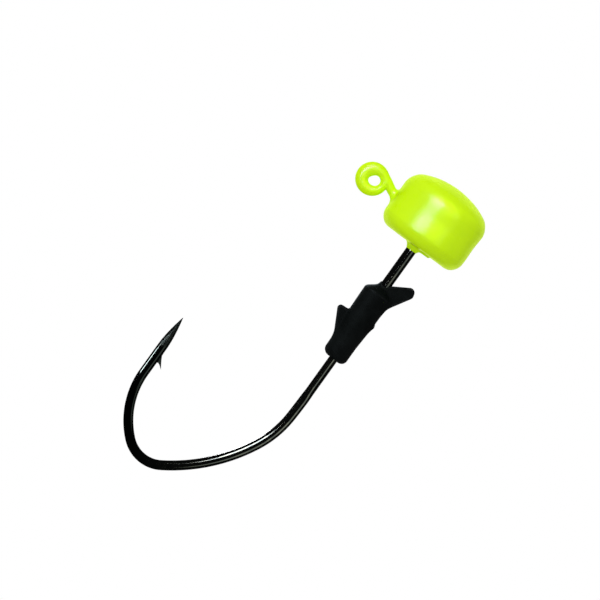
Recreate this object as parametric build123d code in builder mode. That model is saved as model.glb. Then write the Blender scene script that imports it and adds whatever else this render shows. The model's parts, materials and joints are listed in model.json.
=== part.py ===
"""Finesse jig head: a painted lead mushroom head on a 60-degree jig hook, with a moulded bait keeper.

Frame, in millimetres: +X runs forward along the shank to the nose of the head, +Z up to the side of
the line eye and the hook's point, +Y left. The origin is the centre of the line eye. The hook lies
in the plane Y = 0.
"""

from build123d import *
import os
from math import atan2, cos, degrees, radians, sin, sqrt, tan

os.makedirs("parts", exist_ok=True)

# Hook wire
shank_z = -6.53             # axis of the shank, below the centre of the line eye
shank_radius = 0.405        # between the bend and the keeper
neck_radius = 0.47          # between the keeper and the head
taper_length = 1.2          # the wire changes from one radius to the next over this length
swell_start_x = -12.0       # under the keeper, where the shank starts to swell to the neck's radius
forged_radius = 0.435       # round the bend, in the plane of the hook
forged_half_width = 0.36    # round the bend, across the hook: the wire is pressed flat there

# Bend: tangent arcs from the shank round to the point, as (radius, turn in degrees)
bend_start_x = -18.63
bend_arcs = [(60.0, 2.9), (9.5, 23.7), (16.5, 31.2), (3.0, 73.7), (7.5, 48.5)]
point_straight = 5.96       # from the last arc to the tip
needle_length = 2.8         # part of it that tapers to the tip
needle_mid_radius = 0.27    # halfway along the needle
tip_radius = 0.02

# Barb, measured back from the tip and out from the wire's axis
barb_root = (3.85, 0.30)
barb_belly = (4.25, 0.70)
barb_tip = (4.93, 1.12)
barb_throat = (4.62, 0.62)
barb_heel = (4.55, 0.30)
barb_width = 0.36

# Line eye, its leg and the neck bend in the head
eye_wire_radius = 0.39
eye_ring_radius = 1.08      # centre line of the ring
eye_end_radius = 0.28       # the ring's wire tapers to this at its end
eye_end_angle = 262         # where that end closes on the leg
eye_taper_angle = 205       # where the taper starts
leg_lean = 28               # degrees the leg leans forward from +Z
neck_bend_radius = 1.0

# Head, measured over the paint, about its own axis
head_z = -6.78
head_radius = 4.25
head_back_x = -2.68
head_tip_x = 3.74
back_corner_radius = 1.2
nose_corner_radius = 1.7
nose_radius = 7.5

# Bead round the shank and stub of the casting gate, both on the back face
bead_radius = 0.76
bead_end_radius = 0.52
bead_length = 0.45
gate_z = -7.72
gate_radius = 0.52
gate_height = 0.20

# Powder coat
coat = 0.09                 # on the head
leg_coat = 0.045            # on the leg
ring_coat = 0.08            # on the ring of the eye
leg_flare_radius = 0.80     # paint drawn up round the foot of the leg
leg_flare_height = 0.30

# Hole of the line eye, where a punch clears the paint
eye_hole_radius = 0.50
eye_land_length = 0.36

# Keeper: a sleeve, a little high on the wire, with barbs and a fin in the plane of the hook
keeper_z = shank_z + 0.10
keeper_tail_x = -15.25
keeper_step_x = -12.6       # the sleeve grows from here
keeper_body_x = -11.4       # to here
keeper_shoulder_x = -8.05
keeper_front_x = -7.42
lip_x = -6.95
tail_radius = 1.18
body_radius = 1.36
front_radius = 0.63
lip_radius = 0.60
tail_round = 0.42
keeper_fin_width = 0.95
fin_edge_round = 0.20
fin_tip_round = 0.46
barb_tip_round = 0.32
barb_above_corners = [(-13.45, -5.3), (-10.73, -3.87), (-10.73, -5.8), (-13.45, -5.8)]
step_below_corners = [(-12.3, -7.56), (-10.74, -7.90), (-10.25, -7.2), (-12.3, -7.2)]
fin_corners = [(-9.0, -7.77), (-5.1, -9.95), (-6.76, -7.1), (-6.76, -6.6), (-9.0, -6.6)]


def toward(angle, length):
    """A point at this distance and angle, in the plane of the hook."""
    return (length * cos(radians(angle)), length * sin(radians(angle)))


# Neck and eye: a straight leg tangent to the ring, down to the shank's axis
leg_top = toward(-leg_lean, eye_ring_radius)
leg_drop = (leg_top[1] - shank_z) / cos(radians(leg_lean))
corner_x = leg_top[0] - leg_drop * sin(radians(leg_lean))
neck_turn = 90 - leg_lean
neck_bend_x = corner_x - neck_bend_radius * tan(radians(neck_turn / 2))
leg_direction = (sin(radians(leg_lean)), cos(radians(leg_lean)))

# ---------------------------------------------------------------- hook
with BuildPart() as hook:
    # Bend and point, swept round and then pressed flat
    with BuildLine(Plane.XZ) as bend:
        for i, (radius, turn) in enumerate(bend_arcs):
            start = (bend_start_x, shank_z) if i == 0 else bend.line @ 1
            heading = (-1, 0) if i == 0 else bend.line % 1
            if i > 0:
                start = (start.X, start.Z)
                heading = (heading.X, heading.Z)
            JernArc(start=start, tangent=heading, radius=radius, arc_size=-turn)
        arc_end = bend.line @ 1
        needle_start_x = arc_end.X + point_straight - needle_length
        Line((arc_end.X, arc_end.Z), (needle_start_x, arc_end.Z))
    point_z = arc_end.Z
    tip_x = arc_end.X + point_straight
    with BuildSketch(Plane(origin=bend.line @ 0, z_dir=bend.line % 0)):
        Circle(forged_radius)
    sweep(path=bend.line)
    needle_plane = Plane(origin=(0, 0, point_z), x_dir=(1, 0, 0), z_dir=(0, -1, 0))
    with BuildSketch(needle_plane):
        with BuildLine():
            Polyline((tip_x, 0), (needle_start_x, 0), (needle_start_x, forged_radius))
            needle_mid_x = tip_x - needle_length / 2
            ThreePointArc(
                (needle_start_x, forged_radius), (needle_mid_x, needle_mid_radius), (tip_x, tip_radius)
            )
            Line((tip_x, tip_radius), (tip_x, 0))
        make_face()
    revolve(axis=Axis((0, 0, point_z), (1, 0, 0)))
    Box(100, 2 * forged_half_width, 100, mode=Mode.INTERSECT)

    # Barb, a sliver raised from the side that faces the shank
    with BuildSketch(Plane(origin=(tip_x, 0, point_z), x_dir=(-1, 0, 0), z_dir=(0, 1, 0))):
        with BuildLine():
            root, belly, barb_end, throat, heel = (
                (back, -out) for back, out in (barb_root, barb_belly, barb_tip, barb_throat, barb_heel)
            )
            ThreePointArc(root, belly, barb_end)
            Polyline(barb_end, throat, heel, root)
        make_face()
    extrude(amount=barb_width / 2, both=True)

    # Shank and neck: straight round wire in three sizes, joined by cones
    for low_x, high_x, low_radius, high_radius in (
        (bend_start_x, bend_start_x + taper_length, forged_radius, shank_radius),
        (bend_start_x + taper_length, swell_start_x, shank_radius, shank_radius),
        (swell_start_x, swell_start_x + taper_length, shank_radius, neck_radius),
        (swell_start_x + taper_length, neck_bend_x - 0.3, neck_radius, neck_radius),
        (neck_bend_x - 0.3, neck_bend_x, neck_radius, eye_wire_radius),
    ):
        with BuildSketch(Plane.XZ):
            with BuildLine():
                Polyline(
                    (low_x, shank_z),
                    (low_x, shank_z + low_radius),
                    (high_x, shank_z + high_radius),
                    (high_x, shank_z),
                    close=True,
                )
            make_face()
        revolve(axis=Axis((0, 0, shank_z), (1, 0, 0)))

    # Neck bend, leg and the ring of the eye
    with BuildLine(Plane.XZ) as eye_wire:
        JernArc(start=(neck_bend_x, shank_z), tangent=(1, 0), radius=neck_bend_radius, arc_size=neck_turn)
        foot = eye_wire.line @ 1
        Line((foot.X, foot.Z), leg_top)
        CenterArc((0, 0), eye_ring_radius, -leg_lean, eye_taper_angle + leg_lean)
    with BuildSketch(Plane(origin=eye_wire.line @ 0, z_dir=eye_wire.line % 0)):
        Circle(eye_wire_radius)
    sweep(path=eye_wire.line)
    with BuildLine(Plane.XZ) as eye_end:
        CenterArc((0, 0), eye_ring_radius, eye_taper_angle, eye_end_angle - eye_taper_angle)
    with BuildSketch(Plane(origin=eye_end.line @ 0, z_dir=eye_end.line % 0)):
        Circle(eye_wire_radius)
    with BuildSketch(Plane(origin=eye_end.line @ 1, z_dir=eye_end.line % 1)):
        Circle(eye_end_radius)
    sweep(path=eye_end.line, multisection=True)


def head_section(inset):
    """Half section of the head about its own axis, drawn this far inside the painted surface."""
    radius = head_radius - inset
    back_x = head_back_x + inset
    back_round = back_corner_radius - inset
    nose_round = nose_corner_radius - inset
    cap_radius = nose_radius - inset
    tip = head_tip_x - inset
    cap_x = tip - cap_radius
    round_y = radius - nose_round
    round_x = cap_x + sqrt((cap_radius - nose_round) ** 2 - round_y**2)
    cap_angle = degrees(atan2(round_y, round_x - cap_x))
    head_plane = Plane(origin=(0, 0, head_z), x_dir=(1, 0, 0), z_dir=(0, -1, 0))
    with BuildSketch(head_plane) as section:
        with BuildLine():
            Line((back_x, 0), (back_x, radius - back_round))
            JernArc((back_x, radius - back_round), (0, 1), back_round, -90)
            Line((back_x + back_round, radius), (round_x, radius))
            JernArc((round_x, radius), (1, 0), nose_round, cap_angle - 90)
            CenterArc((cap_x, 0), cap_radius, cap_angle, -cap_angle)
            Line((tip, 0), (back_x, 0))
        make_face()
    return section.sketch


def bead_section(inset):
    """Half section of the bead round the shank, about the shank's axis."""
    shank_plane = Plane(origin=(0, 0, shank_z), x_dir=(1, 0, 0), z_dir=(0, -1, 0))
    end_x = head_back_x - bead_length + 2 * inset
    with BuildSketch(shank_plane) as section:
        with BuildLine():
            Polyline(
                (end_x, 0),
                (end_x, bead_end_radius - inset / 3),
                (head_back_x + inset, bead_radius - inset),
                (0, bead_radius - inset),
                (0, 0),
                close=True,
            )
        make_face()
    return section.sketch


head_axis = Axis((0, 0, head_z), (1, 0, 0))
shank_axis = Axis((0, 0, shank_z), (1, 0, 0))

# ---------------------------------------------------------------- head_weight
with BuildPart() as head_weight:
    revolve(head_section(coat), axis=head_axis)
    revolve(bead_section(coat), axis=shank_axis)
    with BuildSketch(Plane(origin=(0, 0, gate_z), z_dir=(-1, 0, 0))):
        Circle(gate_radius - coat)
    extrude(amount=gate_height - coat - head_back_x)
    add(hook.part, mode=Mode.SUBTRACT)

# ---------------------------------------------------------------- powder_coat
leg_plane = Plane(origin=(leg_top[0], 0, leg_top[1]), z_dir=(-leg_direction[0], 0, -leg_direction[1]))
leg_length = (leg_top[1] - head_z - head_radius) / cos(radians(leg_lean))

with BuildPart() as powder_coat:
    revolve(head_section(0), axis=head_axis)
    revolve(bead_section(0), axis=shank_axis)
    with BuildSketch(Plane(origin=(0, 0, gate_z), z_dir=(-1, 0, 0))):
        Circle(gate_radius)
    extrude(amount=gate_height - head_back_x)
    # Down the leg, with a flare at its foot
    with BuildSketch(leg_plane):
        Circle(eye_wire_radius + leg_coat)
    extrude(amount=leg_length + leg_flare_radius)
    with BuildSketch(leg_plane.offset(leg_length - leg_flare_height)):
        Circle(eye_wire_radius + leg_coat)
    with BuildSketch(leg_plane.offset(leg_length + leg_flare_height)):
        Circle(leg_flare_radius)
    loft()
    # Round the ring, with a short land where the hole is cleared
    with BuildSketch(Plane.XY):
        with Locations((eye_ring_radius, 0)):
            Circle(eye_wire_radius + ring_coat)
        with Locations((eye_hole_radius, 0)):
            Rectangle(eye_wire_radius, eye_land_length, align=(Align.MIN, Align.CENTER))
    revolve(axis=Axis.Y)
    add(head_weight.part, mode=Mode.SUBTRACT)
    add(hook.part, mode=Mode.SUBTRACT)

# ---------------------------------------------------------------- keeper
with BuildPart() as keeper:
    # Barb above and swept fin below, in the plane of the hook, with their edges rounded. A sketch's
    # own Y is the model's Z.
    with BuildSketch(Plane.XZ) as barb_above:
        with BuildLine():
            Polyline(*barb_above_corners, close=True)
        make_face()
        fillet(barb_above.vertices().sort_by(Axis.Y)[-1], barb_tip_round)
    extrude(amount=keeper_fin_width / 2, both=True)
    with BuildSketch(Plane.XZ) as fin_below:
        with BuildLine():
            Polyline(*fin_corners, close=True)
        make_face()
        fillet(fin_below.vertices().sort_by(Axis.Y)[0], fin_tip_round)
    extrude(amount=keeper_fin_width / 2, both=True)
    fillet(keeper.faces().filter_by(Axis.Y).edges(), fin_edge_round)
    # Low step under the barb
    with BuildSketch(Plane.XZ):
        with BuildLine():
            Polyline(*step_below_corners, close=True)
        make_face()
    extrude(amount=keeper_fin_width / 2, both=True)
    # Sleeve round the shank
    with BuildSketch(Plane(origin=(0, 0, keeper_z), x_dir=(1, 0, 0), z_dir=(0, -1, 0))):
        with BuildLine():
            Line((keeper_tail_x, 0), (keeper_tail_x, tail_radius - tail_round))
            JernArc((keeper_tail_x, tail_radius - tail_round), (0, 1), tail_round, -90)
            Polyline(
                (keeper_tail_x + tail_round, tail_radius),
                (keeper_step_x, tail_radius),
                (keeper_body_x, body_radius),
                (keeper_shoulder_x, body_radius),
                (keeper_front_x, front_radius),
                (lip_x, lip_radius),
                (lip_x, 0),
                (keeper_tail_x, 0),
            )
        make_face()
    revolve(axis=Axis((0, 0, keeper_z), (1, 0, 0)))
    add(hook.part, mode=Mode.SUBTRACT)

# ---------------------------------------------------------------- export
hook.part.label = "hook"
export_step(hook.part, "parts/hook.step")
head_weight.part.label = "head_weight"
export_step(head_weight.part, "parts/head_weight.step")
powder_coat.part.label = "powder_coat"
export_step(powder_coat.part, "parts/powder_coat.step")
keeper.part.label = "keeper"
export_step(keeper.part, "parts/keeper.step")
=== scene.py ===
"""Looks of the jig head: black nickel hook, painted head and eye, moulded keeper, and the studio.

Shapes are worked out in millimetres in the row frame, +X forward along the shank, +Z towards the hook's
point and +Y left, and scaled to metres when their meshes are made.
"""

import json
import math

import bpy
import numpy as np
from mathutils import Matrix, Vector


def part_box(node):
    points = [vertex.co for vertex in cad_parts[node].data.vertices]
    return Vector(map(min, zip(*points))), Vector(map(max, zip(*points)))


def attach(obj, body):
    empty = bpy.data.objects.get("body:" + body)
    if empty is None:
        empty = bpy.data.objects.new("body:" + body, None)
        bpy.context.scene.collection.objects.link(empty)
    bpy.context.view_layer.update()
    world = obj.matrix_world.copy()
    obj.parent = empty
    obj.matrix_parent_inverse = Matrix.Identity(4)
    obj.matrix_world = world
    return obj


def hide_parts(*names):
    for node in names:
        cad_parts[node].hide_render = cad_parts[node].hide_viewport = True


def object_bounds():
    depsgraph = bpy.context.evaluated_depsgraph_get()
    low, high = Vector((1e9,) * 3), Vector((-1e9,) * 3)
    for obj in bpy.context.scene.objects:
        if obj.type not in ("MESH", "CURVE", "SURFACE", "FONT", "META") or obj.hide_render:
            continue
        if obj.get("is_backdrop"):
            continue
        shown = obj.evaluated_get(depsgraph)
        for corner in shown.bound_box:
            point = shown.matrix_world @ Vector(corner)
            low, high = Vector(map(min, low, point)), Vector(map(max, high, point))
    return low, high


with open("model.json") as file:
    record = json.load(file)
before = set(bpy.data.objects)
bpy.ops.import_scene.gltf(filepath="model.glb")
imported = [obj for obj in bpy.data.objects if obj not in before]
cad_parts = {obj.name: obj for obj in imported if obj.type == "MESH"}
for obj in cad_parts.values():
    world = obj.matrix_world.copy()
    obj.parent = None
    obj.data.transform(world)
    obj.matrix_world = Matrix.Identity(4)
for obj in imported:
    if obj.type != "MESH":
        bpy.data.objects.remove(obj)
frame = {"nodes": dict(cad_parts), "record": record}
cad_low, cad_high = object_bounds()

MM = 0.001


def box_mm(node):
    """Lowest and highest corner of a CAD node, in millimetres."""
    return [np.array(corner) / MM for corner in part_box(node)]


# ---------------------------------------------------------------- sizes, from the frame
hook_low, hook_high = box_mm("hook")
coat_low, coat_high = box_mm("powder_coat")
keeper_low, keeper_high = box_mm("keeper")
mounts = {mount["name"]: mount for mount in frame["record"]["mounts"]}
back_x = mounts["bait_seat"]["pos_m"][0] / MM
eye_hole_radius = mounts["line_eye"]["dims"]["r_mm"]

CAD_NECK_RADIUS = 0.47  # the thickest part of the CAD's shank, which is its lowest too
shank_z = hook_low[2] + CAD_NECK_RADIUS
head_radius = (coat_high[1] - coat_low[1]) / 2
head_z = coat_low[2] + head_radius
nose_x = coat_high[0]
ring_outer = coat_high[2]

# ---------------------------------------------------------------- sizes of the hook's wire
SHANK_RADIUS = 0.425
NECK_RADIUS = 0.495  # between the keeper and the head
FORGED_RADIUS = 0.455  # round the bend, in the plane of the hook
FORGED_HALF_WIDTH = 0.37  # round the bend, across it
FORGED_SQUARENESS = 2.6  # power of the section's curve there; 2 is an ellipse
EYE_WIRE_RADIUS = 0.39
EYE_END_RADIUS = 0.28
EYE_RING_RADIUS = 1.08
EYE_END_ANGLE = 262
LEG_LEAN = 28
NECK_BEND_RADIUS = 1.0
BEND_START_X = -18.63
SWELL_X = -12.0  # the wire swells to the neck's radius from here, under the keeper
TAPER_LENGTH = 1.2
POINT_STRAIGHT = 6.04
BEND_ARCS = [(7.5, 48.5), (3.0, 73.7), (16.5, 31.2), (9.5, 23.7), (60.0, 2.9)]  # from the point

# Needle: its radius follows a power of the distance from the tip
NEEDLE_LENGTH = 3.25
NEEDLE_POWER = 1.75
TIP_RADIUS = 0.018

# Places along the wire, from its tip
SQUARING = (1.5, 4.0)  # the section goes from round to forged over this stretch
GROUND_END = (2.95, 3.25)  # the plating is duller over the grinding, and brightens over this stretch
POINT_SHADE_SPAN = (12.0, 17.0)  # the plating's colour is darkened up to here as painted shade, dimming what it mirrors near the point, and lightens over this stretch
POINT_STREAK_AT = 5.0  # middle of the light's streak on the point
BEND_STREAK_AT = 24.0  # and of that on the bend
EYE_TAPER_TURN = 57  # degrees of the ring over which its wire tapers to its end
END_ROUND = 0.28  # length of the rounding at the wire's end

# Barb, as its outline down the middle: back from the tip, and out from the wire's axis
BARB_OUTLINE = [
    (3.55, 0.45),
    (3.92, 0.475),
    (4.30, 0.69),
    (4.66, 0.91),
    (5.00, 1.13),
    (4.80, 0.90),
    (4.60, 0.68),
    (4.42, 0.50),
    (4.50, 0.455),
    (5.10, 0.455),
]
BARB_HALF_WIDTH = 0.25
BARB_RIDGE = 0.07  # half width of the ridge that keeps the whole height
BARB_PINCH = 0.6  # share of the width that its tip loses
BARB_PINCH_FROM = 0.45  # height where the pinch starts
BARB_PINCH_RISE = 0.67  # and the height over which it grows

# ---------------------------------------------------------------- sizes of the paint
HEAD_LEAN = 1.1  # degrees that the casting sits off the shank's line, nose down
BACK_CORNER_RADIUS = 1.2
NOSE_CORNER_RADIUS = 1.7
NOSE_RADIUS = 7.5
LEG_COAT_RADIUS = 0.435
BEAD_RADIUS = 0.76
BEAD_END_RADIUS = 0.50
BEAD_LENGTH = 0.55
GATE_Z = -7.72
GATE_RADIUS = 0.52
GATE_HEIGHT = 0.20
HOLE_TURN = math.radians(-66)  # the eye's hole is widest along this direction
LEG_FILLET = 0.06  # where the leg meets the ring
NECK_FILLET = 0.5  # where the leg meets the head
BEAD_FILLET = 0.30
GATE_FILLET = 0.14
PARTING_HEIGHT = 0.022  # of the line where the halves of the mould met
PARTING_WIDTH = 0.09
PAINT_EDGE_ROUND = 0.12  # round the ends of the bead and the gate
UNEVENNESS = 0.006  # of the casting and its paint, as slow waves
SINK_DEPTH = 0.020  # the wall sinks a little between its ends as the lead sets
SINK_LENGTH = 2.6
SINK_X = 0.15

# ---------------------------------------------------------------- sizes of the keeper
KEEPER_RISE = 0.11  # the sleeve sits this high on the wire
KEEPER_LEAN = 0.010  # and rises this much per millimetre forward
TAIL_LEAN = 0.05  # the tail's face leans this much per millimetre up
KEEPER_LIP_X = -6.97
SLEEVE_RADII = [  # (x, radius)
    (-15.3, 1.18),
    (-13.3, 1.19),
    (-11.2, 1.33),
    (-9.2, 1.37),
    (-8.05, 1.38),
    (-7.42, 0.53),
    (-7.1, 0.44),
    (-6.9, 0.40),
]
SLEEVE_ROUND = 0.16  # the changes of radius are spread over this length each way
TAIL_ROUND = 0.62
LIP_ROUND = 0.08
FIN_HALF_WIDTH = 0.475
FIN_EDGE_ROUND = 0.20
BARB_CORNERS = [(-13.7, -5.72), (-12.9, -5.37), (-11.08, -4.41), (-11.0, -5.9)]
BARB_TIP_ROUND = 0.30
FIN_CORNERS = [(-9.3, -7.2), (-8.7, -7.39), (-6.54, -8.70), (-6.36, -8.65), (-7.40, -6.9), (-9.3, -6.9)]
FIN_TIP_ROUND = 0.43
STEP_CORNERS = [(-12.4, -7.33), (-10.84, -7.79), (-10.66, -7.74), (-10.4, -7.3), (-12.4, -7.0)]
STEP_ROUND = 0.10
BARB_FILLET = 0.22
FIN_FILLET = 0.30
STEP_FILLET = 0.10
KEEPER_PARTING_HEIGHT = 0.018
KEEPER_PARTING_WIDTH = 0.06


# ================================================================ meshes
EVENING_ROUNDS = 4  # times that a surface net's points are evened out


def ease(value, start, end):
    """0 before start, 1 after end, and a smooth rise between."""
    share = np.clip((value - start) / (end - start), 0, 1)
    return share * share * (3 - 2 * share)


def make_piece(name, points, faces, material, node):
    """A smooth-shaded mesh from points in millimetres, which stands for a CAD node."""
    mesh = bpy.data.meshes.new(name)
    mesh.from_pydata((np.asarray(points) * MM).tolist(), [], faces)
    mesh.validate()
    mesh.polygons.foreach_set("use_smooth", [True] * len(mesh.polygons))
    mesh.materials.append(material)
    piece = bpy.data.objects.new(name, mesh)
    bpy.context.scene.collection.objects.link(piece)
    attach(piece, "root")
    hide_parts(node)
    return piece


def add_attribute(piece, name, values, kind="FLOAT"):
    """A value for each point of the piece, which its material reads."""
    attribute = piece.data.attributes.new(name, kind, "POINT")
    key = "value" if kind == "FLOAT" else "vector"
    attribute.data.foreach_set(key, np.asarray(values, np.float32).ravel())


def surface_net(field, low, high, cell):
    """Points and quads of the closed surface where field(points) is zero, inside a box.

    Each grid cell that the surface crosses holds one point. The points are evened out and
    moved onto the surface along the field's slope.
    """
    counts = np.ceil((np.array(high) - low) / cell).astype(int) + 1
    axes = [low[i] + cell * np.arange(counts[i]) for i in range(3)]
    grid = np.stack(np.meshgrid(*axes, indexing="ij"), axis=-1)
    values = field(grid.reshape(-1, 3)).reshape(counts)
    inside = values < 0

    # Mean of the crossings on each cell's twelve edges
    sums = np.zeros((*(counts - 1), 3))
    hits = np.zeros(counts - 1)
    for axis in range(3):
        near, far = [slice(None)] * 3, [slice(None)] * 3
        near[axis], far[axis] = slice(None, -1), slice(1, None)
        near, far = tuple(near), tuple(far)
        crossed = inside[near] != inside[far]
        share = np.where(crossed, values[near] / (values[near] - values[far] + 1e-12), 0)
        place = grid[near].copy()
        place[..., axis] += share * cell
        place *= crossed[..., None]
        others = [a for a in range(3) if a != axis]
        for shift_a in (0, 1):
            for shift_b in (0, 1):
                part = [slice(None)] * 3
                part[others[0]] = slice(shift_a, counts[others[0]] - 1 + shift_a)
                part[others[1]] = slice(shift_b, counts[others[1]] - 1 + shift_b)
                sums += place[tuple(part)]
                hits += crossed[tuple(part)]
    used = hits > 0
    number = np.full(used.shape, -1)
    number[used] = np.arange(used.sum())
    points = sums[used] / hits[used][:, None]

    # One quad round each grid edge that the surface crosses
    quads = []
    for axis in range(3):
        b, c = (axis + 1) % 3, (axis + 2) % 3
        near, far = [slice(None)] * 3, [slice(None)] * 3
        near[axis], far[axis] = slice(None, -1), slice(1, None)
        starts = np.argwhere(inside[tuple(near)] != inside[tuple(far)])
        starts = starts[(starts[:, b] > 0) & (starts[:, c] > 0)]
        leaving = inside[tuple(starts.T)]
        corners = []
        for back_b, back_c in ((0, 0), (1, 0), (1, 1), (0, 1)):
            cells = starts.copy()
            cells[:, b] -= back_b
            cells[:, c] -= back_c
            corners.append(number[tuple(cells.T)])
        ring = np.stack(corners, axis=1)
        quads.append(np.where(leaving[:, None], ring, ring[:, ::-1]))
    quads = np.concatenate(quads)

    edges = np.concatenate([quads[:, [i, (i + 1) % 4]] for i in range(4)])
    degree = np.bincount(edges[:, 0], minlength=len(points))[:, None]
    for _ in range(EVENING_ROUNDS):
        middle = np.stack(
            [np.bincount(edges[:, 0], points[edges[:, 1], i], len(points)) for i in range(3)], axis=1
        )
        points = points + 0.5 * (middle / degree - points)
        points = onto_surface(field, points, cell)
    return points, quads.tolist()


def slope(field, points, step):
    """Gradient of the field, by central differences."""
    parts = []
    for axis in range(3):
        shift = np.zeros(3)
        shift[axis] = step
        parts.append((field(points + shift) - field(points - shift)) / (2 * step))
    return np.stack(parts, axis=1)


def onto_surface(field, points, cell):
    """The points, moved along the field's slope to where it is zero."""
    for _ in range(2):
        direction = slope(field, points, cell / 8)
        size = np.maximum((direction**2).sum(axis=1), 0.05)
        move = direction * (field(points) / size)[:, None]
        points = points - np.clip(move, -cell, cell)
    return points


def curvature(field, points, reach):
    """How sharply the surface bends at each point, per millimetre: positive on outer edges."""
    total = -6 * field(points)
    for axis in range(3):
        for side in (-reach, reach):
            shift = np.zeros(3)
            shift[axis] = side
            total += field(points + shift)
    return total / reach**2


def joined(first, second, blend):
    """Distance to two shapes together, with a fillet about this large where they meet."""
    share = np.clip(0.5 + 0.5 * (second - first) / blend, 0, 1)
    return second + (first - second) * share - blend * share * (1 - share)


def edge_rounded(first, second, radius):
    """Distance to what two shapes share, with this radius along their common edge."""
    return np.minimum(-radius, np.maximum(first, second)) + np.hypot(
        np.maximum(radius + first, 0), np.maximum(radius + second, 0)
    )


def outline_distance(x, z, corners):
    """Distance from a closed outline of straight sides, negative inside it."""
    nearest = np.full(x.shape, 1e9)
    within = np.zeros(x.shape, bool)
    for (ax, az), (bx, bz) in zip(corners, corners[1:] + corners[:1]):
        side = np.array([bx - ax, bz - az])
        share = np.clip(((x - ax) * side[0] + (z - az) * side[1]) / (side @ side), 0, 1)
        nearest = np.minimum(nearest, (x - ax - share * side[0]) ** 2 + (z - az - share * side[1]) ** 2)
        if az != bz:
            spans = (az > z) != (bz > z)
            within ^= spans & (x < ax + (z - az) * (bx - ax) / (bz - az))
    return np.where(within, -1, 1) * np.sqrt(nearest)


def cone_distance(x, across, low_x, high_x, low_radius, high_radius):
    """Rough distance to a round bar along X that tapers from one radius to the other."""
    share = np.clip((x - low_x) / (high_x - low_x), 0, 1)
    radius = low_radius + share * (high_radius - low_radius)
    return edge_rounded(across - radius, low_x - x, PAINT_EDGE_ROUND)


# ================================================================ materials
class Finish:
    """A Principled material, with short ways to add the nodes that vary it over the surface."""

    def __init__(self, name, **sockets):
        self.material = bpy.data.materials.new(name)
        self.material.use_nodes = True
        self.tree = self.material.node_tree
        self.surface = next(n for n in self.tree.nodes if n.type == "BSDF_PRINCIPLED")
        for socket, value in sockets.items():
            self.surface.inputs[socket.replace("_", " ")].default_value = value

    def add(self, kind, **settings):
        node = self.tree.nodes.new("ShaderNode" + kind)
        for key, value in settings.items():
            setattr(node, key, value)
        return node

    def link(self, output, target):
        self.tree.links.new(output, target)

    def place(self):
        """The surface's place in millimetres, the same in every view."""
        scaled = self.add("VectorMath", operation="SCALE")
        scaled.inputs["Scale"].default_value = 1 / MM
        self.link(self.add("TexCoord").outputs["Object"], scaled.inputs[0])
        return scaled.outputs[0]

    def stretched(self, vector, scale):
        scaled = self.add("VectorMath", operation="MULTIPLY")
        scaled.inputs[1].default_value = scale
        self.link(vector, scaled.inputs[0])
        return scaled.outputs[0]

    def noise(self, vector, scale, detail=3.0, roughness=0.5):
        node = self.add("TexNoise")
        node.inputs["Scale"].default_value = scale
        node.inputs["Detail"].default_value = detail
        node.inputs["Roughness"].default_value = roughness
        self.link(vector, node.inputs["Vector"])
        return node.outputs[0]

    def attribute(self, name, output="Fac"):
        return self.add("Attribute", attribute_name=name).outputs[output]

    def ramp(self, value, low, high, to_low=0.0, to_high=1.0):
        """The value, with low..high carried to to_low..to_high and held beyond."""
        node = self.add("MapRange", interpolation_type="SMOOTHSTEP")
        for socket, number in zip((1, 2, 3, 4), (low, high, to_low, to_high)):
            node.inputs[socket].default_value = number
        self.link(value, node.inputs[0])
        return node.outputs[0]

    def math(self, operation, first, second):
        node = self.add("Math", operation=operation)
        for socket, value in zip(node.inputs, (first, second)):
            if isinstance(value, (int, float)):
                socket.default_value = value
            else:
                self.link(value, socket)
        return node.outputs[0]

    def mix(self, share, first, second):
        """Between two colours, each a colour or another node's output."""
        node = self.add("Mix", data_type="RGBA")
        self.link(share, node.inputs["Factor"])
        for socket, colour in zip((node.inputs[6], node.inputs[7]), (first, second)):
            if isinstance(colour, tuple):
                socket.default_value = (*colour, 1)
            else:
                self.link(colour, socket)
        return node.outputs[2]

    def bump(self, height, normal=None, strength=1.0):
        """Height in millimetres."""
        node = self.add("Bump")
        node.inputs["Strength"].default_value = strength
        node.inputs["Distance"].default_value = MM
        self.link(height, node.inputs["Height"])
        if normal is not None:
            self.link(normal, node.inputs["Normal"])
        return node.outputs[0]

    def drive(self, socket, output):
        self.link(output, self.surface.inputs[socket])


def black_nickel():
    """Glossy dark plating over drawn wire: fine lines along the wire, and faint cloudy patches."""
    finish = Finish("black_nickel", Metallic=1.0, Roughness=0.1)
    wire = finish.attribute("wire", "Vector")
    lines = finish.noise(finish.stretched(wire, (0.22, 7.0, 7.0)), 2.0, 4.0, 0.6)
    patches = finish.noise(finish.place(), 1.5, 3.0)
    tone = finish.mix(finish.ramp(patches, 0.35, 0.65), (0.038, 0.044, 0.045), (0.078, 0.080, 0.070))
    tone = finish.mix(finish.ramp(lines, 0.42, 0.72), tone, (0.074, 0.080, 0.076))
    axes = finish.add("SeparateXYZ")
    finish.link(wire, axes.inputs[0])
    along = axes.outputs["X"]
    # Painted shade: the plating's colour darkens towards the point, which dims the streaks that it mirrors
    # there
    point_shade = finish.ramp(along, *POINT_SHADE_SPAN, 0.88, 0)
    finish.drive("Base Color", finish.mix(point_shade, tone, (0.008, 0.011, 0.011)))
    specks = finish.ramp(finish.noise(finish.place(), 9.0, 2.0), 0.64, 0.78, 0, 0.02)
    dull = finish.math("ADD", finish.ramp(lines, 0.3, 0.7, 0.05, 0.085), specks)
    ground = finish.ramp(along, *GROUND_END, 0.3, 0)
    finish.drive("Roughness", finish.math("ADD", dull, ground))
    height = finish.math("MULTIPLY", lines, 0.0004)
    pits = finish.math("MULTIPLY", finish.noise(finish.place(), 7.0, 2.0), 0.0001)
    finish.drive("Normal", finish.bump(finish.math("ADD", height, pits)))
    return finish.material


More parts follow.
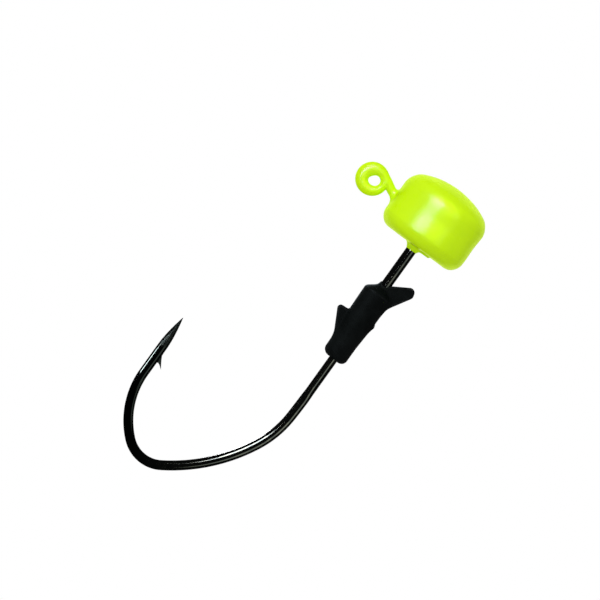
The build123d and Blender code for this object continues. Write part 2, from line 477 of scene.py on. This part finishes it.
def chartreuse_paint():
    """Baked fluorescent powder paint under its own gloss: flowed out, with a little orange peel."""
    finish = Finish(
        "chartreuse_paint",
        Specular_IOR_Level=0.05,
        # The emission is partly the paint's fluorescence and partly a painted glow that evens out its light
        # and shade
        Emission_Color=(0.60, 0.93, 0.0, 1),
        Emission_Strength=0.12,
    )
    place = finish.place()
    cloud = finish.noise(place, 0.42, 3.0)
    colour = finish.mix(finish.ramp(cloud, 0.3, 0.7), (0.585, 0.905, 0.004), (0.615, 0.945, 0.002))
    # Paint draws back from outer corners, where the lead shows through a little, and these are also
    # darkened as painted shade; inner corners and creases are darkened as painted shade
    bend = finish.attribute("bend")
    thin_paint_and_shade = finish.ramp(bend, 0.35, 1.1, 0, 0.8)
    colour = finish.mix(thin_paint_and_shade, colour, (0.57, 0.875, 0.002))
    # Painted shade in the inner corners and creases
    deep = finish.ramp(bend, -0.2, -2.5, 0, 0.3)
    colour = finish.mix(deep, colour, (0.46, 0.74, 0.0))
    grains = finish.noise(place, 11.0, 2.0)
    colour = finish.mix(finish.ramp(grains, 0.62, 0.78, 0, 0.25), colour, (0.50, 0.80, 0.0))
    finish.drive("Base Color", colour)
    finish.drive("Roughness", finish.ramp(finish.noise(place, 1.3, 4.0), 0.3, 0.7, 0.24, 0.36))
    peel = finish.math("MULTIPLY", finish.noise(place, 1.9, 2.0), 0.010)
    fine = finish.math("MULTIPLY", finish.noise(place, 5.0, 2.0), 0.0006)
    normal = finish.bump(finish.math("ADD", peel, fine))
    finish.drive("Normal", normal)
    finish.drive("Coat Normal", normal)
    # The gloss is thinner and wavier round the wire of the eye
    finish.drive("Coat Weight", finish.ramp(bend, 1.0, 2.0, 0.45, 0.06))
    finish.drive("Coat Roughness", finish.ramp(bend, 1.0, 2.0, 0.22, 0.32))
    return finish.material


def black_plastic():
    """Satin moulded plastic: spark-eroded mould grain, rubbed shinier along its edges."""
    finish = Finish("black_plastic", Specular_IOR_Level=0.3)
    place = finish.place()
    cloud = finish.noise(place, 0.8, 3.0)
    colour = finish.mix(finish.ramp(cloud, 0.3, 0.7), (0.0024, 0.0036, 0.0036), (0.0042, 0.0062, 0.0062))
    edge = finish.ramp(finish.attribute("bend"), 1.5, 6.0)
    rub = finish.math("MULTIPLY", edge, finish.ramp(finish.noise(place, 3.0, 4.0), 0.35, 0.65))
    colour = finish.mix(rub, colour, (0.014, 0.016, 0.018))
    finish.drive("Base Color", colour)
    rough = finish.ramp(finish.noise(place, 2.2, 4.0), 0.3, 0.7, 0.44, 0.58)
    finish.drive("Roughness", finish.math("SUBTRACT", rough, finish.math("MULTIPLY", rub, 0.14)))
    grain = finish.math("MULTIPLY", finish.noise(place, 12.0, 3.0), 0.006)
    flow = finish.math("MULTIPLY", finish.noise(finish.stretched(place, (0.5, 2.0, 2.0)), 1.2, 2.0), 0.012)
    finish.drive("Normal", finish.bump(finish.math("ADD", grain, flow)))
    return finish.material


def cast_lead():
    """Lead as it leaves the mould: dull and blue-grey, with faint chill ripples."""
    finish = Finish("cast_lead", Metallic=0.9, Roughness=0.5)
    place = finish.place()
    tone = finish.ramp(finish.noise(place, 0.9, 5.0), 0.3, 0.7)
    finish.drive("Base Color", finish.mix(tone, (0.25, 0.26, 0.29), (0.42, 0.43, 0.46)))
    finish.drive("Roughness", finish.ramp(finish.noise(place, 3.0, 3.0), 0.3, 0.7, 0.4, 0.62))
    ripples = finish.math("MULTIPLY", finish.noise(finish.stretched(place, (2.5, 1, 1)), 1.5, 3.0), 0.02)
    finish.drive("Normal", finish.bump(ripples))
    return finish.material


# ================================================================ hook
def leg_top():
    """Where the leg runs into the ring, at a tangent."""
    lean = math.radians(LEG_LEAN)
    return EYE_RING_RADIUS * math.cos(lean), -EYE_RING_RADIUS * math.sin(lean)


def wire_steps():
    """The wire from its point to the end of the eye, as (length, radius), radius None where straight."""
    lean = math.radians(LEG_LEAN)
    turn = math.radians(90 - LEG_LEAN)
    top_x, top_z = leg_top()
    leg = (top_z - shank_z) / math.cos(lean)
    corner_x = top_x - leg * math.sin(lean)
    set_back = NECK_BEND_RADIUS * math.tan(turn / 2)
    ring_turn = math.radians(EYE_END_ANGLE + LEG_LEAN)
    steps = [(POINT_STRAIGHT, None)]
    steps += [(radius * math.radians(angle), radius) for radius, angle in BEND_ARCS]
    steps += [(corner_x - set_back - BEND_START_X, None)]
    steps += [(NECK_BEND_RADIUS * turn, NECK_BEND_RADIUS)]
    steps += [(leg - set_back, None)]
    steps += [(EYE_RING_RADIUS * ring_turn, EYE_RING_RADIUS)]
    return steps


def follow(steps, along):
    """Places (x, z) and headings at these lengths along the wire. It starts heading -X and turns left."""
    places = np.zeros((len(along), 2))
    headings = np.zeros(len(along))
    place, heading, walked = np.zeros(2), math.pi, 0.0
    for length, radius in steps:
        here = along >= walked - 1e-9
        run = np.clip(along[here] - walked, 0, length)
        if radius is None:
            angle = np.full(run.shape, heading)
            places[here] = place + run[:, None] * [math.cos(heading), math.sin(heading)]
            end = place + length * np.array([math.cos(heading), math.sin(heading)])
            turned = heading
        else:
            centre = place + radius * np.array([-math.sin(heading), math.cos(heading)])
            angle = heading + run / radius
            places[here] = centre + radius * np.stack([np.sin(angle), -np.cos(angle)], axis=1)
            turned = heading + length / radius
            end = centre + radius * np.array([math.sin(turned), -math.cos(turned)])
        headings[here] = angle
        place, heading, walked = end, turned, walked + length
    return places, headings


def on_wire(along):
    """Places (x, z) and headings of the hook's wire at these lengths from its point."""
    steps = wire_steps()
    to_shank = sum(length for length, radius in steps[: 1 + len(BEND_ARCS)])
    places, headings = follow(steps, along)
    start = follow(steps, np.array([to_shank]))[0][0]
    return places + np.array([BEND_START_X, shank_z]) - start, headings


def barb_rise(back):
    """Where the barb's middle line lies for stations evenly spaced along the barb's own outline."""
    outline = np.array(BARB_OUTLINE)
    steps = np.hypot(*np.diff(outline, axis=0).T)
    lengths = np.concatenate([[0], np.cumsum(steps)])
    share = (back - outline[0, 0]) / (outline[-1, 0] - outline[0, 0]) * lengths[-1]
    return np.interp(share, lengths, outline[:, 0]), np.interp(share, lengths, outline[:, 1])


def build_hook():
    """The wire, as rings of points about its middle line, with the barb raised from it."""
    around_count = 72
    steps = wire_steps()
    total = sum(length for length, radius in steps)
    shank_start = sum(length for length, radius in steps[: 1 + len(BEND_ARCS)])
    swell = shank_start + SWELL_X - BEND_START_X
    neck = shank_start + steps[1 + len(BEND_ARCS)][0]
    taper = total - EYE_RING_RADIUS * math.radians(EYE_TAPER_TURN)
    along = np.concatenate([
        np.geomspace(0.012, 0.3, 14) - 0.012,
        np.arange(0.34, BARB_OUTLINE[0][0], 0.06),
        np.linspace(BARB_OUTLINE[0][0], BARB_OUTLINE[-1][0], 110),
        np.arange(BARB_OUTLINE[-1][0] + 0.06, total - END_ROUND, 0.12),
        total - END_ROUND + END_ROUND * np.sin(np.linspace(0.02, math.pi / 2, 9)),
    ])
    places, headings = on_wire(along)

    needle = np.clip(1 - along / NEEDLE_LENGTH, 0, 1)
    tip = 1 - (1 - TIP_RADIUS / FORGED_RADIUS) * needle**NEEDLE_POWER
    to_shank = ease(along, shank_start - TAPER_LENGTH, shank_start)
    to_neck = ease(along, swell, swell + TAPER_LENGTH)
    to_eye = ease(along, neck - 0.3, neck)
    to_end = ease(along, taper, total)
    round_radius = SHANK_RADIUS + to_neck * (NECK_RADIUS - SHANK_RADIUS)
    round_radius += to_eye * (EYE_WIRE_RADIUS - NECK_RADIUS) + to_end * (EYE_END_RADIUS - EYE_WIRE_RADIUS)
    deep = (FORGED_RADIUS * tip) * (1 - to_shank) + round_radius * to_shank
    flat = np.minimum(FORGED_HALF_WIDTH, FORGED_RADIUS * tip) * (1 - to_shank) + round_radius * to_shank
    into_end = np.clip(along - total + END_ROUND, 0, END_ROUND) / END_ROUND
    closing = np.sqrt(np.clip(1 - into_end**2, 0.0004, 1))
    deep, flat = deep * closing, flat * closing
    square = 2 + (FORGED_SQUARENESS - 2) * ease(along, *SQUARING) * (1 - to_shank)

    theta = np.linspace(0, 2 * math.pi, around_count, endpoint=False)
    cosine, sine = np.cos(theta), np.sin(theta)
    power = (2 / square)[:, None]
    out = deep[:, None] * np.sign(cosine) * np.abs(cosine) ** power
    across = flat[:, None] * np.sign(sine) * np.abs(sine) ** power

    # The barb, raised from the side that faces the shank
    on_barb = (along >= BARB_OUTLINE[0][0]) & (along <= BARB_OUTLINE[-1][0])
    barb_back, barb_out = barb_rise(along[on_barb])
    ridge = 1 - ease(np.abs(across[on_barb]), BARB_RIDGE, BARB_HALF_WIDTH)
    ridge = ridge * (cosine > 0)
    lift = np.zeros_like(out)
    slide = np.zeros_like(out)
    lift[on_barb] = ridge * (barb_out - deep[on_barb])[:, None]
    slide[on_barb] = ridge * (barb_back - along[on_barb])[:, None]
    pinch = np.ones_like(out)
    barb_high = np.clip((barb_out[:, None] - BARB_PINCH_FROM) / BARB_PINCH_RISE, 0, 1)
    pinch[on_barb] = 1 - BARB_PINCH * ridge * barb_high
    across = across * pinch

    forward = np.stack([np.cos(headings), np.sin(headings)], axis=1)
    inward = np.stack([-np.sin(headings), np.cos(headings)], axis=1)
    flat_points = (
        places[:, None, :]
        + (out + lift)[:, :, None] * inward[:, None, :]
        + slide[:, :, None] * forward[:, None, :]
    )
    points = np.stack([flat_points[..., 0], across, flat_points[..., 1]], axis=-1).reshape(-1, 3)
    stations = len(along)
    faces = []
    for row in range(stations - 1):
        for column in range(around_count):
            following = (column + 1) % around_count
            first, second = row * around_count, (row + 1) * around_count
            faces.append((first + column, second + column, second + following, first + following))
    faces.append(tuple(range(around_count)))
    faces.append(tuple(reversed(range((stations - 1) * around_count, stations * around_count))))
    piece = make_piece("hook_wire", points, faces, black_nickel(), "hook")
    wire = np.stack(
        [np.repeat(along, around_count), np.tile(cosine, stations), np.tile(sine, stations)], axis=1
    )
    add_attribute(piece, "wire", wire, "FLOAT_VECTOR")
    return piece


# ================================================================ painted head and eye
def head_distance(x, y, z):
    """The head: flat back, straight wall and domed nose, with a round along each corner."""
    lean = math.radians(HEAD_LEAN)
    middle_x = (back_x + nose_x) / 2
    along = middle_x + (x - middle_x) * math.cos(lean) - (z - head_z) * math.sin(lean)
    up = (x - middle_x) * math.sin(lean) + (z - head_z) * math.cos(lean)
    across = np.hypot(y, up)
    round_y = head_radius - NOSE_CORNER_RADIUS
    cap_x = nose_x - NOSE_RADIUS
    round_x = cap_x + math.sqrt((NOSE_RADIUS - NOSE_CORNER_RADIUS) ** 2 - round_y**2)
    cap_angle = math.atan2(round_y, round_x - cap_x)
    back_corner_x = back_x + BACK_CORNER_RADIUS
    back_corner_y = head_radius - BACK_CORNER_RADIUS

    wall = across - head_radius
    back = back_x - along
    distance = np.maximum(wall, back)
    on_back_corner = (along < back_corner_x) & (across > back_corner_y)
    distance = np.where(
        on_back_corner,
        np.hypot(along - back_corner_x, across - back_corner_y) - BACK_CORNER_RADIUS,
        distance,
    )
    on_nose_corner = (along > round_x) & (across > round_y)
    distance = np.where(
        on_nose_corner, np.hypot(along - round_x, across - round_y) - NOSE_CORNER_RADIUS, distance
    )
    under_cap = (along - cap_x) * math.sin(cap_angle) - across * math.cos(cap_angle) > 0
    on_cap = under_cap & (along > middle_x)
    distance = np.where(on_cap, np.hypot(along - cap_x, across) - NOSE_RADIUS, distance)
    # Where the halves of the mould met, and how the casting and its paint are a little uneven
    parting = PARTING_HEIGHT * np.exp(-((y / PARTING_WIDTH) ** 2)) * ease(np.abs(up), 1.0, 2.0)
    uneven = UNEVENNESS * np.sin(1.1 * x + 0.6 * z + 0.8) * np.sin(0.8 * z - 0.7 * y + 0.3)
    sunk = SINK_DEPTH * np.cos(2 * math.pi * (x - SINK_X) / SINK_LENGTH) * ease(wall, -0.6, -0.1)
    return distance - parting - uneven + sunk


def eye_distance(x, y, z):
    """The painted ring: the paint hangs thick at its top and leaves an oval hole."""
    angle = np.arctan2(z, x)
    direction_x, direction_z = np.cos(angle), np.sin(angle)
    # The paint's outer and inner radius in each direction, then half its thickness between and across them
    outer = ring_outer + 0.02 * direction_x + 0.06 * direction_z
    inner = eye_hole_radius - 0.02 - 0.015 * direction_x - 0.18 * direction_z
    inner = inner + 0.06 * np.cos(2 * (angle - HOLE_TURN))
    middle = (outer + inner) / 2
    thick = (outer - inner) / 2
    across = 0.43 + 0.3 * (thick - 0.36)
    offset = np.hypot((np.hypot(x, z) - middle) / thick, y / across)
    return (offset - 1) * np.minimum(thick, across)


def leg_distance(x, y, z):
    """The painted leg, from the ring down into the head."""
    top = np.array(leg_top())
    down = -np.array([math.sin(math.radians(LEG_LEAN)), math.cos(math.radians(LEG_LEAN))])
    run = np.clip((x - top[0]) * down[0] + (z - top[1]) * down[1], 0, (top[1] - head_z) / -down[1])
    gap_x, gap_z = x - top[0] - run * down[0], z - top[1] - run * down[1]
    return np.sqrt(gap_x**2 + gap_z**2 + y**2) - LEG_COAT_RADIUS - 0.02 * np.sin(1.9 * run + 0.4)


def paint_distance(points):
    """All that is painted: the head, the eye, its leg, the bead and the gate."""
    x, y, z = points.T
    leg = joined(eye_distance(x, y, z), leg_distance(x, y, z), LEG_FILLET)
    body = joined(head_distance(x, y, z), leg, NECK_FILLET)
    shank_across = np.hypot(y, z - shank_z)
    bead = cone_distance(x, shank_across, back_x - BEAD_LENGTH, back_x, BEAD_END_RADIUS, BEAD_RADIUS)
    bead = np.maximum(bead, x)
    gate_across = np.hypot(y, z - GATE_Z)
    gate = edge_rounded(gate_across - GATE_RADIUS, back_x - GATE_HEIGHT - x, PAINT_EDGE_ROUND)
    gate = np.maximum(gate, x)
    return joined(joined(body, bead, BEAD_FILLET), gate, GATE_FILLET)


def build_paint():
    """The paint as one closed mesh, which knows how sharply it bends at each point."""
    cell = 0.085
    margin = 0.25
    points, faces = surface_net(paint_distance, coat_low - margin, coat_high + margin, cell)
    piece = make_piece("painted_head", points, faces, chartreuse_paint(), "powder_coat")
    add_attribute(piece, "bend", curvature(paint_distance, points, reach=0.12))
    return piece


# ================================================================ keeper
def sleeve_radius(x):
    """Radius of the keeper's sleeve at x with its corners rounded off, and how steeply it changes."""
    places, radii = zip(*SLEEVE_RADII)
    shifts = np.linspace(-SLEEVE_ROUND, SLEEVE_ROUND, 7)
    radius = sum(np.interp(x + shift, places, radii) for shift in shifts) / len(shifts)
    ahead = np.interp(x + SLEEVE_ROUND, places, radii)
    behind = np.interp(x - SLEEVE_ROUND, places, radii)
    return radius, (ahead - behind) / (2 * SLEEVE_ROUND)


def keeper_distance(points):
    """The keeper: its sleeve, barb, fin and the step before the fin, less the wire it is moulded on."""
    x, y, z = points.T
    up = z - shank_z - KEEPER_RISE - KEEPER_LEAN * (x - (keeper_low[0] + keeper_high[0]) / 2)
    across = np.hypot(y, up)
    radius, steepness = sleeve_radius(x)
    sleeve = (across - radius) / np.sqrt(1 + steepness**2)
    sleeve = edge_rounded(sleeve, keeper_low[0] - x + TAIL_LEAN * (up + 1), TAIL_ROUND)
    sleeve = edge_rounded(sleeve, x - KEEPER_LIP_X, LIP_ROUND)
    sides = np.abs(y) - FIN_HALF_WIDTH
    barb = edge_rounded(outline_distance(x, z, BARB_CORNERS) - BARB_TIP_ROUND, sides, FIN_EDGE_ROUND)
    fin = edge_rounded(outline_distance(x, z, FIN_CORNERS) - FIN_TIP_ROUND, sides, FIN_EDGE_ROUND)
    step = edge_rounded(outline_distance(x, z, STEP_CORNERS) - STEP_ROUND, sides, STEP_ROUND)
    solid = joined(sleeve, barb, BARB_FILLET)
    solid = joined(solid, fin, FIN_FILLET)
    solid = joined(solid, step, STEP_FILLET)
    parting = KEEPER_PARTING_HEIGHT * np.exp(-((y / KEEPER_PARTING_WIDTH) ** 2))
    wire_radius = SHANK_RADIUS + (NECK_RADIUS - SHANK_RADIUS) * ease(x, SWELL_X, SWELL_X + TAPER_LENGTH)
    bore = np.hypot(y, z - shank_z) - wire_radius
    return np.maximum(solid - parting, -bore)


def build_keeper():
    """The keeper as one closed mesh, which knows how sharply it bends at each point."""
    cell = 0.055
    margin = 0.2
    points, faces = surface_net(keeper_distance, keeper_low - margin, keeper_high + margin, cell)
    piece = make_piece("bait_keeper", points, faces, black_plastic(), "keeper")
    add_attribute(piece, "bend", curvature(keeper_distance, points, reach=0.08))
    return piece


# ================================================================ studio
CAMERA_ROLL = 54.35  # degrees that the picture is turned, so that the shank slants up to the right
CAMERA_DISTANCE = 1.0
PICTURE_WIDTH = 0.054  # metres across, at the object
OBJECT_LEFT = 0.00034  # of the picture's centre
OBJECT_BELOW = 0.00215
FILL_LEVEL = 0.592  # brightness of the even fill
ROOM_LEVEL = 0.035  # of the room that gloss mirrors
BEHIND_LEVEL = 0.12  # and of the room straight behind the object
roll = math.radians(CAMERA_ROLL)
picture_right = Vector((math.cos(roll), 0, -math.sin(roll)))
picture_up = Vector((math.sin(roll), 0, math.cos(roll)))
to_camera = Vector((0, -1, 0))
centre = (cad_low + cad_high) / 2


def aim(away):
    """Rotation that looks back along this direction, with the picture's own up."""
    up = picture_up if abs(away.dot(picture_up)) < 0.95 else picture_right
    side = up.cross(away).normalized()
    return Matrix((side, away.cross(side), away)).transposed().to_4x4()


def add_camera():
    """A long lens square to the hook's plane, with the object a little off the picture's middle."""
    camera = bpy.data.cameras.new("camera")
    camera.sensor_width = 36
    camera.lens = camera.sensor_width * CAMERA_DISTANCE / PICTURE_WIDTH
    camera.clip_start = 0.05
    camera.clip_end = 20
    holder = bpy.data.objects.new("camera", camera)
    target = centre + OBJECT_LEFT * picture_right + OBJECT_BELOW * picture_up
    holder.matrix_world = Matrix.Translation(target + CAMERA_DISTANCE * to_camera) @ aim(to_camera)
    bpy.context.scene.collection.objects.link(holder)
    bpy.context.scene.camera = holder


def add_light(name, place, facing, size, brightness, colour=(1, 1, 1), lights=None, sheen=True, fill=True):
    """A rectangular light of this brightness at a place, its own Z away from what it lights.

    It lights the given pieces, or all. Sheen is what shows of it in their gloss, fill all the rest.
    """
    light = bpy.data.lights.new(name, "AREA")
    light.shape = "RECTANGLE"
    light.size, light.size_y = size
    light.color = colour
    light.energy = brightness * math.pi * size[0] * size[1]
    holder = bpy.data.objects.new(name, light)
    holder.matrix_world = Matrix.Translation(place) @ facing
    holder.visible_camera = False
    holder.visible_glossy = sheen
    holder.visible_diffuse = fill
    bpy.context.scene.collection.objects.link(holder)
    if lights is not None:
        receivers = bpy.data.collections.new(name + "_lights")
        for piece in lights:
            receivers.objects.link(piece)
        holder.light_linking.receiver_collection = receivers
    return holder


def add_softbox(name, off_axis, toward, size, brightness, distance=0.45, about=centre, **options):
    """A light off the camera's line by an angle, toward (right, up) in the picture. Size is round, out."""
    angle = math.radians(off_axis)
    sideways = (toward[0] * picture_right + toward[1] * picture_up).normalized()
    away = math.cos(angle) * to_camera + math.sin(angle) * sideways
    side = away.cross(sideways).normalized()
    facing = Matrix((side, away.cross(side), away)).transposed().to_4x4()
    return add_light(name, about + distance * away, facing, size, brightness, **options)


def add_board(name, middle, low, high, brightness, distance=0.2, **options):
    """A light in a plane before the object, from low to high (x, z) off the point that it is set before."""
    away = distance * to_camera
    spot = Vector(middle) + away + Vector(((low[0] + high[0]) / 2, 0, (low[1] + high[1]) / 2))
    side = Vector((1, 0, 0))
    facing = Matrix((side, away.cross(side).normalized(), away.normalized())).transposed().to_4x4()
    size = (high[0] - low[0], high[1] - low[1])
    return add_light(name, spot, facing, size, brightness, **options)


def add_tent(brightness):
    """Six square lights that close round everything, for even fill that no gloss shows."""
    reach = 1.5
    for name, away in (
        ("left", (0, 1, 0)),
        ("right", (0, -1, 0)),
        ("front", (1, 0, 0)),
        ("back", (-1, 0, 0)),
        ("top", (0, 0, 1)),
        ("bottom", (0, 0, -1)),
    ):
        facing = Vector(away).to_track_quat("Z", "Y").to_matrix().to_4x4()
        place = centre + reach * Vector(away)
        add_light("tent_" + name, place, facing, (2 * reach, 2 * reach), brightness, sheen=False)


def add_world():
    """White behind the object, and a dim room in its gloss, lighter straight behind."""
    world = bpy.data.worlds.new("studio")
    bpy.context.scene.world = world
    world.use_nodes = True
    tree = world.node_tree
    background = next(n for n in tree.nodes if n.type == "BACKGROUND")
    background.inputs["Color"].default_value = (1, 1, 1, 1)
    direction = tree.nodes.new("ShaderNodeSeparateXYZ")
    tree.links.new(tree.nodes.new("ShaderNodeTexCoord").outputs["Generated"], direction.inputs[0])
    room = tree.nodes.new("ShaderNodeMapRange")
    for socket, number in zip((1, 2, 3, 4), (0.3, 0.95, ROOM_LEVEL, BEHIND_LEVEL)):
        room.inputs[socket].default_value = number
    tree.links.new(direction.outputs["Y"], room.inputs[0])
    # The camera's own rays see 1, all others the room
    seen = tree.nodes.new("ShaderNodeMix")
    tree.links.new(tree.nodes.new("ShaderNodeLightPath").outputs["Is Camera Ray"], seen.inputs["Factor"])
    tree.links.new(room.outputs[0], seen.inputs["A"])
    seen.inputs["B"].default_value = 1
    tree.links.new(seen.outputs[0], background.inputs["Strength"])


def add_floor():
    """A plain pale floor below the object, out of the camera's view and of the object's gloss."""
    radius, drop = 0.13, 0.052
    sides = 96
    points = [
        (radius * math.cos(2 * math.pi * i / sides), radius * math.sin(2 * math.pi * i / sides), 0)
        for i in range(sides)
    ]
    mesh = bpy.data.meshes.new("studio_floor")
    mesh.from_pydata(points, [], [tuple(range(sides))])
    finish = Finish("floor_card", Roughness=0.7)
    tone = finish.ramp(finish.noise(finish.place(), 0.2, 4.0), 0.3, 0.7)
    finish.drive("Base Color", finish.mix(tone, (0.80, 0.80, 0.79), (0.83, 0.83, 0.82)))
    mesh.materials.append(finish.material)
    floor = bpy.data.objects.new("studio_floor", mesh)
    floor.location = (centre.x, 0, cad_low.z - drop)
    floor.visible_glossy = False
    floor.visible_diffuse = False
    bpy.context.scene.collection.objects.link(floor)
    floor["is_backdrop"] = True
    return floor


# ================================================================ the scene
hook = build_hook()
paint = build_paint()
paint.visible_glossy = False
keeper = build_keeper()
lead_materials = frame["nodes"]["head_weight"].data.materials
lead_materials.clear()
lead_materials.append(cast_lead())

add_camera()
add_world()
add_tent(FILL_LEVEL)
floor = add_floor()

# The lamps above give the shading, and one more lights the keeper from behind
cool_white = (0.8, 1.0, 1.1)
keeper_lamp = {"size": (0.2, 0.3), "brightness": 0.9, "lights": [keeper], "colour": cool_white}
add_softbox("lamp", 45, (0, 1), (0.3, 0.3), 2.6, lights=[paint, floor])
add_softbox("keeper_lamp", 45, (-0.3, 1), **keeper_lamp)

# What the head's gloss mirrors: a bright bank with a brighter core above, and a dim one below, in a
# wide room the colour of its paint
pale_blue, lime = (0.62, 0.9, 1.0), (0.9, 1.0, 0.12)
head_middle = Vector(((back_x + nose_x) / 2, 0, head_z)) * MM
head_gloss = {"lights": [paint], "fill": False}
for name, low, high, brightness, colour in (
    ("bank", (-0.010, 0.015), (0.15, 0.168), 8.5, pale_blue),
    ("core", (-0.010, 0.055), (0.15, 0.125), 68, pale_blue),
    ("room", (-0.008, -0.19), (0.39, 0.172), 7.0, lime),
    ("strip", (-0.010, -0.19), (0.15, -0.115), 2.0, (1, 1, 1)),
):
    add_board(name, head_middle, low, high, brightness, colour=colour, **head_gloss)
add_board(
    "backdrop", head_middle, (-0.3, -0.3), (0.3, 0.3), 0.95, -0.3, colour=(0.8, 1.0, 0.12), **head_gloss
)

# Streaks along the wire: lights before it, and much the same behind it, of which the front shows no
# more than the wire's very edge
wire_gloss = {"lights": [hook], "fill": False}
bend_middle, point_middle = (
    Vector((x, 0, z)) * MM for x, z in on_wire(np.array([BEND_STREAK_AT, POINT_STREAK_AT]))[0]
)
inside_bend = (-0.459, 0.888)
bend_streak = {"size": (0.105, 0.245), "distance": 0.8, "about": bend_middle, **wire_gloss}
add_softbox("bend_streak", 22, inside_bend, brightness=27, **bend_streak)
add_board("point_streak", point_middle, (-0.0022, 0.019), (0.0018, 0.030), 98, distance=0.024, **wire_gloss)
# Below the shank, one light towards its rear and one towards its neck, which meet half way along it
below_shank = (math.sin(roll), -math.cos(roll))
for name, middle_x, off_axis, size, brightness in (
    ("rear_streak", -0.081, 27, (0.14, 0.13), 2.0),
    ("neck_streak", 0.059, 44, (0.14, 0.16), 1.3),
    ("far_shank_streak", -0.010, 158, (0.08, 0.16), 0.7),
):
    about = Vector((middle_x, 0, shank_z * MM))
    add_softbox(
        name, off_axis, below_shank, size, brightness, 0.3, about, colour=(0.97, 1.0, 0.86), **wire_gloss
    )
add_softbox("far_bend_streak", 157, inside_bend, brightness=14, **bend_streak)
add_softbox("far_keeper_lamp", 150, (-0.3, 1), **keeper_lamp)
bpy.context.scene.view_settings.view_transform = "Standard"

low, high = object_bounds()
